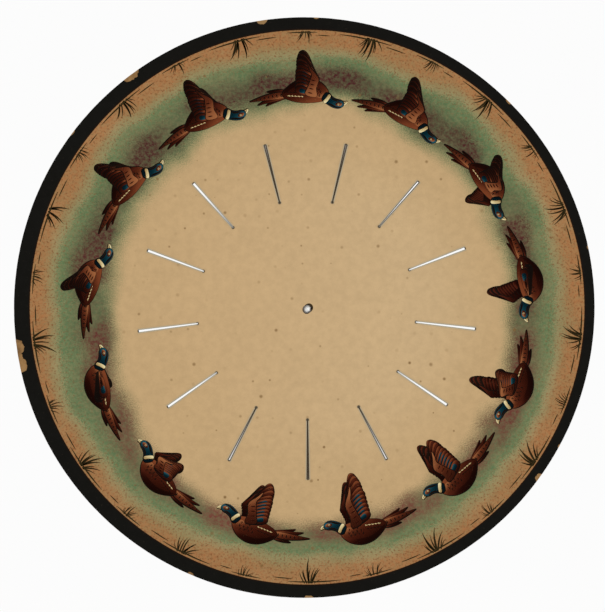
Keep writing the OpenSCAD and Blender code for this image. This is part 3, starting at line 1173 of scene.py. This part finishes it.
def ink_film(name, triangles, material):
    """A thin closed film from flat triangles of (place on the disc, place on the figure, light) corners."""
    index, faces, lights = {}, [], []
    for corners in triangles:
        face = []
        for place, figure, _ in corners:
            key = (round(place.real / MERGE_MM), round(place.imag / MERGE_MM))
            face.append(index.setdefault(key, (len(index), place, figure))[0])
        if len(set(face)) == 3:
            faces.append(face)
            lights.append([light for _, _, light in corners])
    places = [(place.real * MM, place.imag * MM) for _, place, _ in index.values()]
    figures = [number for _, _, figure in index.values() for number in (figure.real, figure.imag, 0.0)]
    verts, film = slab(places, faces, face_z - INK_FILM, face_z)
    mesh = new_mesh(name, verts, film)
    carry(mesh, "figure", "FLOAT_VECTOR", "POINT", "vector", figures * 2)
    below = [light for face in lights for light in face[::-1]]
    above = [light for face in lights for light in face]
    on_sides = [0.0] * (4 * (len(film) - 2 * len(faces)))
    carry(mesh, "lit", "FLOAT", "CORNER", "value", below + above + on_sides)
    mesh.materials.append(material)
    hand_over(new_object(name, mesh), "disc", "printed_paper")


print("films are", INK_FILM / MM, "mm thick")

# %% [markdown]
# Every bird is drawn at its own stage of the beat, mirrored, turned and moved to its place on the disc.
# What still shows of a shape runs from its darkest to its lightest tone, so that no feather drowns in
# shade.

# %% Print the birds
BIRD_SCALE = 0.95
FLIGHT_RADIUS = 88.0
FLIGHT_SWAY = 3.0
FLIGHT_PITCH = math.radians(7)
FAR_LAG = math.radians(25)
print_centre = complex(*PRINT_CENTRE)


def light_reach(figure):
    """How far a place on the bird lies towards the light."""
    return (figure * LIGHT_WAY.conjugate()).real


printed = {name: [] for name in INKS if name != "reed"}
for k in range(SLIT_COUNT):
    phase = math.tau * k / SLIT_COUNT
    out = cmath.exp(1j * (SLIT_FIRST + phase + math.pi / SLIT_COUNT))
    middle = print_centre + out * (FLIGHT_RADIUS + FLIGHT_SWAY * math.cos(phase))
    turn = BIRD_SCALE * 1j * out * cmath.exp(1j * FLIGHT_PITCH * math.sin(phase))
    drawn = draw_bird(math.cos(phase), math.cos(phase - FAR_LAG))
    laid = [[middle - turn * each.conjugate() for each in loop] for _, loop in drawn]
    mosaic, showing = [], {}
    for layer, corners in cut_mosaic(laid):
        figures = [-((corner - middle) / turn).conjugate() for corner in corners]
        reaches = [light_reach(figure) for figure in figures]
        mosaic.append((layer, corners, figures, reaches))
        showing.setdefault(layer, []).extend(reaches)
    spans = {layer: (min(reaches), max(reaches)) for layer, reaches in showing.items()}
    for layer, corners, figures, reaches in mosaic:
        darkest, lightest = spans[layer]
        lights = [(reach - darkest) / max(lightest - darkest, MERGE_MM) for reach in reaches]
        printed[drawn[layer][0]].append(list(zip(corners, figures, lights)))

for name, triangles in printed.items():
    ink_film("print_" + name, triangles, ink_materials[name])

# %% [markdown]
# ### Reeds along the rim
# Tufts of reed stand along the rim, in place of ground. A blade is one small bent film, and a Geometry
# Nodes tree sets it out in tufts, with a fixed seed for the lean and length of each blade. Large tufts
# stand between the birds, and small ones under them.

# %% Reeds
REED_TUFTS = 26
REED_BLADES = 9
REED_FOOT_RADIUS = 109.4 * MM
REED_LENGTH = 10.2 * MM
REED_SPREAD = math.radians(0.9)
REED_FAN = math.radians(40)
REED_FILM = 0.02 * MM
REED_SEED = 4
REED_STRAY = 0.3
REED_LEAN = 0.35
SHORTEST_REED = 0.6
OUTER_REED_LOSS = 0.45
SMALL_TUFT = 0.55
REED_ROWS = [
    # height along the blade, its bend to the side and its half width, all as shares of its length
    (0.0, 0.0, 0.036),
    (0.3, 0.01, 0.046),
    (0.55, 0.04, 0.040),
    (0.78, 0.10, 0.026),
    (1.0, 0.19, 0.004),
]


def reed_blade():
    """One flat blade that grows along +Y, one unit long and as thick as its film of ink."""
    right = [(bend + half, up) for up, bend, half in REED_ROWS]
    left = [(bend - half, up) for up, bend, half in REED_ROWS]
    last = 2 * len(REED_ROWS) - 1
    strips = [(i, i + 1, last - 1 - i, last - i) for i in range(len(REED_ROWS) - 1)]
    return new_mesh("reed_blade", *slab(right + left[::-1], strips, 0, REED_FILM))


def on_circle(turn, radius):
    return (times(maths(way, turn), radius) for way in ("COSINE", "SINE"))


def reed_rule(index, blade, tufts, blades, seed, first, radius, long, wide, fan, centre_x, centre_y, foot):
    def chance(number, low, high):
        """A number for each blade that the seed fixes."""
        values = {2: low, 3: high, "ID": index, "Seed": plus(seed, number)}
        return put("FunctionNodeRandomValue", values, data_type="FLOAT")[1]

    tuft = maths("FLOOR", maths("DIVIDE", index, blades))
    slot = minus(index, times(tuft, blades))
    side = spread(maths("DIVIDE", slot, minus(blades, 1)), -1, 1)
    shift = times(plus(side, chance(1, -REED_STRAY, REED_STRAY)), wide)
    angle = plus(plus(first, share_of_turn(tuft, tufts)), shift)
    lean = times(plus(side, chance(2, -REED_LEAN, REED_LEAN)), fan)
    turn = point(z=minus(plus(angle, math.pi / 2), lean))
    lower = minus(1, times(times(side, side), OUTER_REED_LOSS))
    tall = times(lower, times(long, chance(3, SHORTEST_REED, 1.0)))
    size = times(tall, spread(maths("MODULO", tuft, 2), 1.0, SMALL_TUFT))
    x, y = on_circle(angle, radius)
    at = point(plus(x, centre_x), plus(y, centre_y), foot)
    return set_out(times(tufts, blades), blade, turn, at, point(size, size, 1.0))


reed_tree = shape_tree("reed_tufts", reed_rule, shape="Blade", count="Tufts, Blades, Seed",
                       value="First Angle, Radius, Length, Spread, Fan, Centre X, Centre Y, Foot")
reeds = grown("print_reeds", reed_blade(), reed_tree, Tufts=REED_TUFTS, Blades=REED_BLADES,
              First_Angle=SLIT_FIRST, Radius=REED_FOOT_RADIUS, Length=REED_LENGTH, Spread=REED_SPREAD,
              Fan=REED_FAN, Centre_X=PRINT_CENTRE[0] * MM, Centre_Y=PRINT_CENTRE[1] * MM,
              Foot=face_z - INK_FILM, Seed=REED_SEED, Material=ink_materials["reed"])
hand_over(reeds, "disc", "printed_paper")

# %% [markdown]
# A few low pen strokes along the rim, drawn and printed as the birds are, give the reeds a ground.

# %% Ground strokes
GROUND_STROKES = [
    # radius, half length, shift round the rim and width, in mm, for each pair of tufts
    (108.8, 10.5, 2.0, 0.60),
    (107.6, 4.0, -10.5, 0.42),
    (108.9, 6.0, 27.5, 0.50),
    (107.8, 2.4, 18.6, 0.36),
]


def ground_stroke(start, radius, half, shift, width):
    """A pen stroke along the rim, with a middle that is shifted from a given direction."""
    turns = [start + (shift + half * share) / radius for share in (-1, -0.4, 0.4, 1)]
    return pen_stroke([print_centre + cmath.rect(radius, turn) for turn in turns], width)


pair_starts = [SLIT_FIRST + k * (2 * math.tau / REED_TUFTS) for k in range(REED_TUFTS // 2)]
strokes = [ground_stroke(start, *row) for start in pair_starts for row in GROUND_STROKES]
stroke_triangles = [[(each, each, 0.5) for each in corners] for _, corners in cut_mosaic(strokes)]
ink_film("print_ground", stroke_triangles, ink_materials["reed"])

# %% [markdown]
# ## Turned pieces
# The handle, the hub and the brass were all turned on a lathe, so each is a profile spun round the axis.
# The profile's points come from the frame and a few measured sizes. While it spins a profile, the lathe
# also notes where it bends outwards, which is where hands rub it bright, and inwards, where polish and dirt
# stay.

# %% Lathe
LATHE_STEPS = 128
CORNER_REACH = 0.7 * MM
SMOOTH_ANGLE = math.radians(40)


def with_corner_rows(profile):
    """Adds a point near each end of every long stretch, so that wear stays at the corners."""
    fuller = []
    for start, end in zip(profile, profile[1:]):
        start, end = Vector(start), Vector(end)
        fuller.append(tuple(start))
        if (end - start).length > 3 * CORNER_REACH:
            step = (end - start).normalized() * CORNER_REACH
            fuller += [tuple(start + step), tuple(end - step)]
    return fuller + [profile[-1]]


def spun(profile, steps):
    """Corners, faces and rings of a spun profile. One that starts off the axis is closed to a ring."""
    verts, faces, rings = [], [], []
    for radius, z in profile:
        ring = circle(radius, steps if radius > 0 else 1, z)
        rings.append(range(len(verts), len(verts) + len(ring)))
        verts += ring
    onward = rings[1:] + (rings[:1] if profile[0][0] > 0 else [])
    for below, above in zip(rings, onward):
        for step in range(steps):
            after = (step + 1) % steps
            at = ((below, step), (below, after), (above, after), (above, step))
            face = list(dict.fromkeys(ring[number % len(ring)] for ring, number in at))
            if len(face) > 2:
                faces.append(face)
    return verts, faces, rings


def bend_at(profile, i):
    """How far a profile bends outwards at one of its points. Its ends don't count."""
    if not 0 < i < len(profile) - 1:
        return 0.0
    before, at, after = (Vector(each) for each in profile[i - 1:i + 2])
    return -(at - before).angle_signed(after - at, 0.0)


def smoothed(mesh):
    mesh.shade_smooth()
    mesh.set_sharp_from_angle(angle=SMOOTH_ANGLE)


def turned_piece(name, profile, material, body, slot, node):
    """Spins a profile of (radius, height) round the axis. It runs anticlockwise, up the outside."""
    profile = with_corner_rows(profile)
    verts, faces, rings = spun(profile, LATHE_STEPS)
    mesh = new_mesh(name, verts, faces)
    bends = [bend_at(profile, i) for i, ring in enumerate(rings) for _ in ring]
    carry(mesh, "bend", "FLOAT", "POINT", "value", bends)
    mesh.materials.append(material)
    smoothed(mesh)
    hand_over(new_object(name, mesh), body, slot, node)


print("lathe steps:", LATHE_STEPS)

# %% [markdown]
# A profile is put together from straight stretches, rounds and S-shaped tapers.

# %% Rounds and tapers
ROUND_STEPS = 12
BEAD_STEPS = 20


def arc(centre, radius, start, end, steps=ROUND_STEPS):
    """Points on a round stretch of a profile, from one direction to another, in degrees."""
    turns = [math.radians(start + (end - start) * i / steps) for i in range(steps + 1)]
    return [(centre[0] + radius * math.cos(turn), centre[1] + radius * math.sin(turn)) for turn in turns]


def ogee(start, end, steps):
    """An S-shaped stretch that leaves and arrives along the axis."""
    shares = [i / steps for i in range(steps + 1)]
    return [(start[0] + (end[0] - start[0]) * (1 - math.cos(math.pi * t)) / 2,
             start[1] + (end[1] - start[1]) * t) for t in shares]


print("points on a quarter round:", len(arc((0, 0), 1, 0, 90)))

# %% [markdown]
# ### Stained wood
# A close-grained hardwood, stained red brown and polished by hand. The grain runs along the axis, so the
# noise that makes it is stretched that way: broad bands, fine streaks and short dark pores. The polish is a
# coat over the wood. It is rubbed thin where the hand holds the barrel and on the edges.

# %% Wood
RUBBED_FADE = 8
BARREL_HELD = (4, 46)
NEVER_HELD = (200, 240)


def handling_rule(place):
    """Finger marks and scratches: a share for smears and one for fine lines."""
    smears = rise(clouds(place, 0.22, 4.0, 0.6), 0.45, 0.72)
    lines = rise(clouds(place, 0.6, 2.0, 0.7, stretch=(0.5, 0.5, 9.0)), 0.66, 0.72)
    return smears, times(lines, rise(clouds(place, 0.12), 0.45, 0.65))


def wood_look(tree, rubbed_from, rubbed_to):
    """Wood whose polish is rubbed between two heights, given in millimetres."""
    place = places_mm(tree)
    bands = clouds(place, 1.0, 3.0, 0.55, stretch=(0.16, 0.1, 0.006), shift=(3, 8, 0))
    streaks = clouds(place, 1.0, 4.0, 0.6, stretch=(1.5, 1.5, 0.045))
    pores = rise(clouds(place, 1.0, stretch=(4.5, 4.5, 0.30)), 0.63, 0.70)
    bend = carried(tree, "bend")
    edges = rise(plus(bend, spread(streaks, -0.1, 0.1)), 0.08, 0.35)
    hollows = rise(times(bend, -1.0), 0.06, 0.3)
    touch = used(handling, Place=place)
    height = axes(place)[2]
    held = minus(rise(height, rubbed_from, rubbed_from + RUBBED_FADE),
                 rise(height, rubbed_to - RUBBED_FADE, rubbed_to))
    rubbed = times(held, spread(touch["Smears"], 0.25, 0.75))
    tone = layered(
        over(rise(bands, 0.3, 0.7), (86, 42, 24), (138, 80, 46)),
        (rise(streaks, 0.45, 0.75), 0.6, (64, 28, 17)),
        (pores, 0.75, (34, 15, 9)),
        (rubbed, 0.55, (160, 98, 58)),
        (edges, 0.6, (176, 116, 70)),
        (touch["Scratches"], 0.35, (188, 138, 92)),
        (hollows, 0.8, (24, 11, 7)))
    dull = plus(spread(touch["Smears"], 0.28, 0.42), times(pores, 0.2))
    return dict(Base_Color=tone, Roughness=dull, Specular_IOR_Level=0.4, Coat_Weight=0.4,
                Coat_Roughness=0.12, Normal=bumped(minus(times(streaks, 0.3), pores), 0.3, 0.05))


handling = effect("handling", handling_rule, {"value": "Smears, Scratches"}, place="Place")
handle_wood = new_material("handle_wood", wood_look, *BARREL_HELD)
hub_wood = new_material("hub_wood", wood_look, *NEVER_HELD)

# %% [markdown]
# ### The handle
# The handle has a plain barrel to hold, a groove, a long taper, a bead and a tenon that goes into the
# ferrule. The lathe's centre has left a small mark in its flat end.

# %% Handle
_, grip_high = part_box("handle_grip")
ferrule_low, ferrule_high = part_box("ferrule")
BARREL_TOP = 42 * MM
NECK_Z = 82 * MM
NECK_RADIUS = 8.5 * MM
BEAD_RADIUS = 11 * MM
BUTT_ROUND = 2 * MM
GROOVE_RADIUS = 0.7 * MM
CENTRE_MARK = 1.2 * MM
TENON_STEP = 2 * MM
TAPER_STEPS = 64


def handle_profile():
    barrel = grip_high.x
    shoulder_z = ferrule_low.z
    tenon = ferrule_high.x - TENON_STEP
    bead = (shoulder_z - NECK_Z) / 2
    groove_z = BARREL_TOP + GROOVE_RADIUS
    mark = [(0, CENTRE_MARK), (CENTRE_MARK, 0)]
    butt = arc((barrel - BUTT_ROUND, BUTT_ROUND), BUTT_ROUND, -90, 0)
    groove = arc((barrel, groove_z), GROOVE_RADIUS, 270, 90)
    taper = ogee((barrel, BARREL_TOP), (NECK_RADIUS, NECK_Z), TAPER_STEPS)
    above_groove = [each for each in taper if each[1] > groove_z + GROOVE_RADIUS]
    round_bead = arc((BEAD_RADIUS - bead, NECK_Z + bead), bead, -90, 90, BEAD_STEPS)
    tenon_top = [(tenon, shoulder_z), (tenon, grip_high.z), (0, grip_high.z)]
    return mark + butt + groove + above_groove + round_bead + tenon_top


turned_piece("handle_turned", handle_profile(), handle_wood, "handle", "turned_wood", "handle_grip")

# %% [markdown]
# ### The hub
# The hub is a small turned boss that is glued to the lining, with the brass bush pressed into its narrow
# end.

# %% Hub
boss_low, boss_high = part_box("hub_boss")
bush_low, bush_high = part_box("hub_bush")
BOSS_NECK = bush_high.x + 2 * MM
BOSS_RIM = 2 * MM
BUSH_BARREL = 3.54 * MM
BOSS_STEPS = 40
COLLAR_ROOM = 5 * MM
EDGE = 0.3 * MM


def hub_profile():
    wide = boss_high.x
    outside = ogee((BOSS_NECK, boss_low.z), (wide, boss_high.z - BOSS_RIM), BOSS_STEPS)
    rim = [(wide, boss_high.z - EDGE), (wide - EDGE, boss_high.z)]
    hollow = [(COLLAR_ROOM, boss_high.z), (COLLAR_ROOM, bush_high.z), (BUSH_BARREL, bush_high.z)]
    return [(BUSH_BARREL, boss_low.z), (BOSS_NECK - EDGE, boss_low.z)] + outside[1:] + rim + hollow


turned_piece("hub_turned", hub_profile(), hub_wood, "disc", "turned_wood", "hub_boss")

# %% [markdown]
# ### Brass and steel
# The ferrule, bush, washer and brads are lacquered brass that has dulled in the hollows. The collar sits in
# the hub's hollow and is near-black brass. The spindle and the collar's pin are drawn steel. Fine rings
# from the turning tool run round all of them.

# %% Metal
SMEAR_DULLING = 0.14


def ring_rule(place):
    """Fine rings round the axis that a turning tool leaves, as a height."""
    x, y, z = axes(place)
    return clouds(point(length(point(x, y)), z), 7.0, 2.0, 0.6)


def metal_look(tree, bright, dull, rough):
    place = places_mm(tree)
    touch = used(handling, Place=place)
    hollows = rise(times(carried(tree, "bend"), -1.0), 0.05, 0.4)
    tarnish = rise(clouds(place, 0.35, 5.0, 0.65), 0.42, 0.75)
    tone = over(larger(times(tarnish, 0.55), hollows), bright, dull)
    gloss = plus(spread(touch["Smears"], rough, rough + SMEAR_DULLING), times(touch["Scratches"], 0.2))
    return dict(Base_Color=tone, Roughness=gloss, Metallic=1.0,
                Normal=bumped(used(tool_rings, Place=place)["Height"], 0.25, 0.02))


tool_rings = effect("tool_rings", ring_rule, {"value": "Height"}, place="Place")
brass = new_material("dulled_brass", metal_look, (0.74, 0.50, 0.20, 1), (0.30, 0.17, 0.07, 1), 0.24)
near_black_brass = new_material("near_black_brass", metal_look, (0.12, 0.08, 0.04, 1), (0.03, 0.02, 0.012, 1), 0.5)
steel = new_material("drawn_steel", metal_look, (0.62, 0.62, 0.60, 1), (0.36, 0.34, 0.31, 1), 0.42)

# %% [markdown]
# The ferrule is a drawn cap with a rolled rim. The bush and the washer are plain rings with their sharp
# edges taken off, and the spindle is a rod whose visible end is slightly domed. The collar and its pin keep
# their solids and only take the metals.

# %% Ferrule, bush, washer and spindle
FERRULE_RIM = 1 * MM
FERRULE_WALL = 1 * MM
SPINDLE_DOME = 4.6 * MM
DOME_STEPS = 10
SPINDLE_CHAMFER = 0.2 * MM
TINY_EDGE = 0.12 * MM
BUSH_PLAY = 0.04 * MM
WASHER_PLAY = 0.1 * MM
spindle_low, spindle_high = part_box("spindle")
washer_low, washer_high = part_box("thrust_washer")
spindle_radius = spindle_high.x
bush_bore = spindle_radius + BUSH_PLAY
washer_bore = spindle_radius + WASHER_PLAY
ferrule_wall = ferrule_high.x - FERRULE_RIM


def ferrule_profile():
    inside = ferrule_wall - FERRULE_WALL
    top, cap = ferrule_high.z, grip_high.z
    rim = arc((ferrule_wall, ferrule_low.z + FERRULE_RIM), FERRULE_RIM, -90, 90, BEAD_STEPS)
    return [(inside, ferrule_low.z)] + rim + [
        (ferrule_wall, top - EDGE), (ferrule_wall - EDGE, top), (spindle_radius, top), (spindle_radius, cap),
        (inside, cap)]


def ring_profile(bore, outside, foot, top):
    """A plain ring with its sharp edges taken off."""
    inset = outside - TINY_EDGE
    rim = [(inset, foot), (outside, foot + TINY_EDGE), (outside, top - TINY_EDGE), (inset, top)]
    return [(bore, foot), *rim, (bore, top)]


def spindle_profile():
    foot = [(0, spindle_low.z), (spindle_radius - SPINDLE_CHAMFER, spindle_low.z),
            (spindle_radius, spindle_low.z + SPINDLE_CHAMFER)]
    flattest = math.degrees(math.acos(spindle_radius / SPINDLE_DOME))
    dome = arc((0, spindle_high.z - SPINDLE_DOME), SPINDLE_DOME, flattest, 90, DOME_STEPS)
    return foot + dome[:-1] + [(0, spindle_high.z)]


flange = ring_profile(bush_bore, bush_high.x, bush_low.z, boss_low.z)
bush = flange[:-1] + [(BUSH_BARREL, boss_low.z), (BUSH_BARREL, bush_high.z), (bush_bore, bush_high.z)]
washer = ring_profile(washer_bore, washer_high.x, washer_low.z, washer_high.z)
turned_piece("ferrule_drawn", ferrule_profile(), brass, "handle", "brass", "ferrule")
turned_piece("bush_turned", bush, brass, "disc", "brass", "hub_bush")
turned_piece("washer_turned", washer, brass, "handle", "brass", "thrust_washer")
turned_piece("spindle_drawn", spindle_profile(), steel, "handle", "bright_steel", "spindle")
for node, metal in (("retaining_collar", near_black_brass), ("collar_pin", steel)):
    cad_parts[node].data.materials.clear()
    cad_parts[node].data.materials.append(metal)

# %% [markdown]
# ### The brads
# Small round-headed nails hold the ferrule. One is turned, with the ferrule's wall at height 0, and a
# Geometry Nodes tree sets copies of it round the ferrule.

# %% Brads
BRAD_COUNT = 3
BRAD_HEAD = 1.3 * MM
BRAD_SHANK = 0.7 * MM
BRAD_RISE = 0.6 * MM
BRAD_SINK = 0.3 * MM
BRAD_LENGTH = 4 * MM
BRAD_STEPS = 24
BRAD_DOME_STEPS = 8


def brad_profile():
    dome = (BRAD_RISE ** 2 + BRAD_HEAD ** 2) / (2 * BRAD_RISE)
    low = math.degrees(math.acos(BRAD_HEAD / dome))
    shank = [(0, -BRAD_LENGTH), (BRAD_SHANK, -BRAD_LENGTH), (BRAD_SHANK, -BRAD_SINK)]
    head = arc((0, BRAD_RISE - dome), dome, low, 90, BRAD_DOME_STEPS)
    return [*shank, (BRAD_HEAD, -BRAD_SINK), *head[:-1], (0, BRAD_RISE)]


def brad_rule(index, brad, count, radius, height):
    turn = share_of_turn(index, count)
    x, y = on_circle(turn, radius)
    return set_out(count, brad, point(0.0, math.pi / 2, turn), point(x, y, height))


brad_tree = shape_tree("brads_round_ferrule", brad_rule, shape="Brad", count="Count", value="Radius, Height")
brad_mesh = new_mesh("brad", *spun(brad_profile(), BRAD_STEPS)[:2])
brads = grown("brads_set", brad_mesh, brad_tree, Count=BRAD_COUNT, Radius=ferrule_wall,
              Height=(ferrule_low.z + grip_high.z) / 2, Material=brass)
smoothed(brads.data)
hand_over(brads, "handle", "brass", "ferrule_brads")
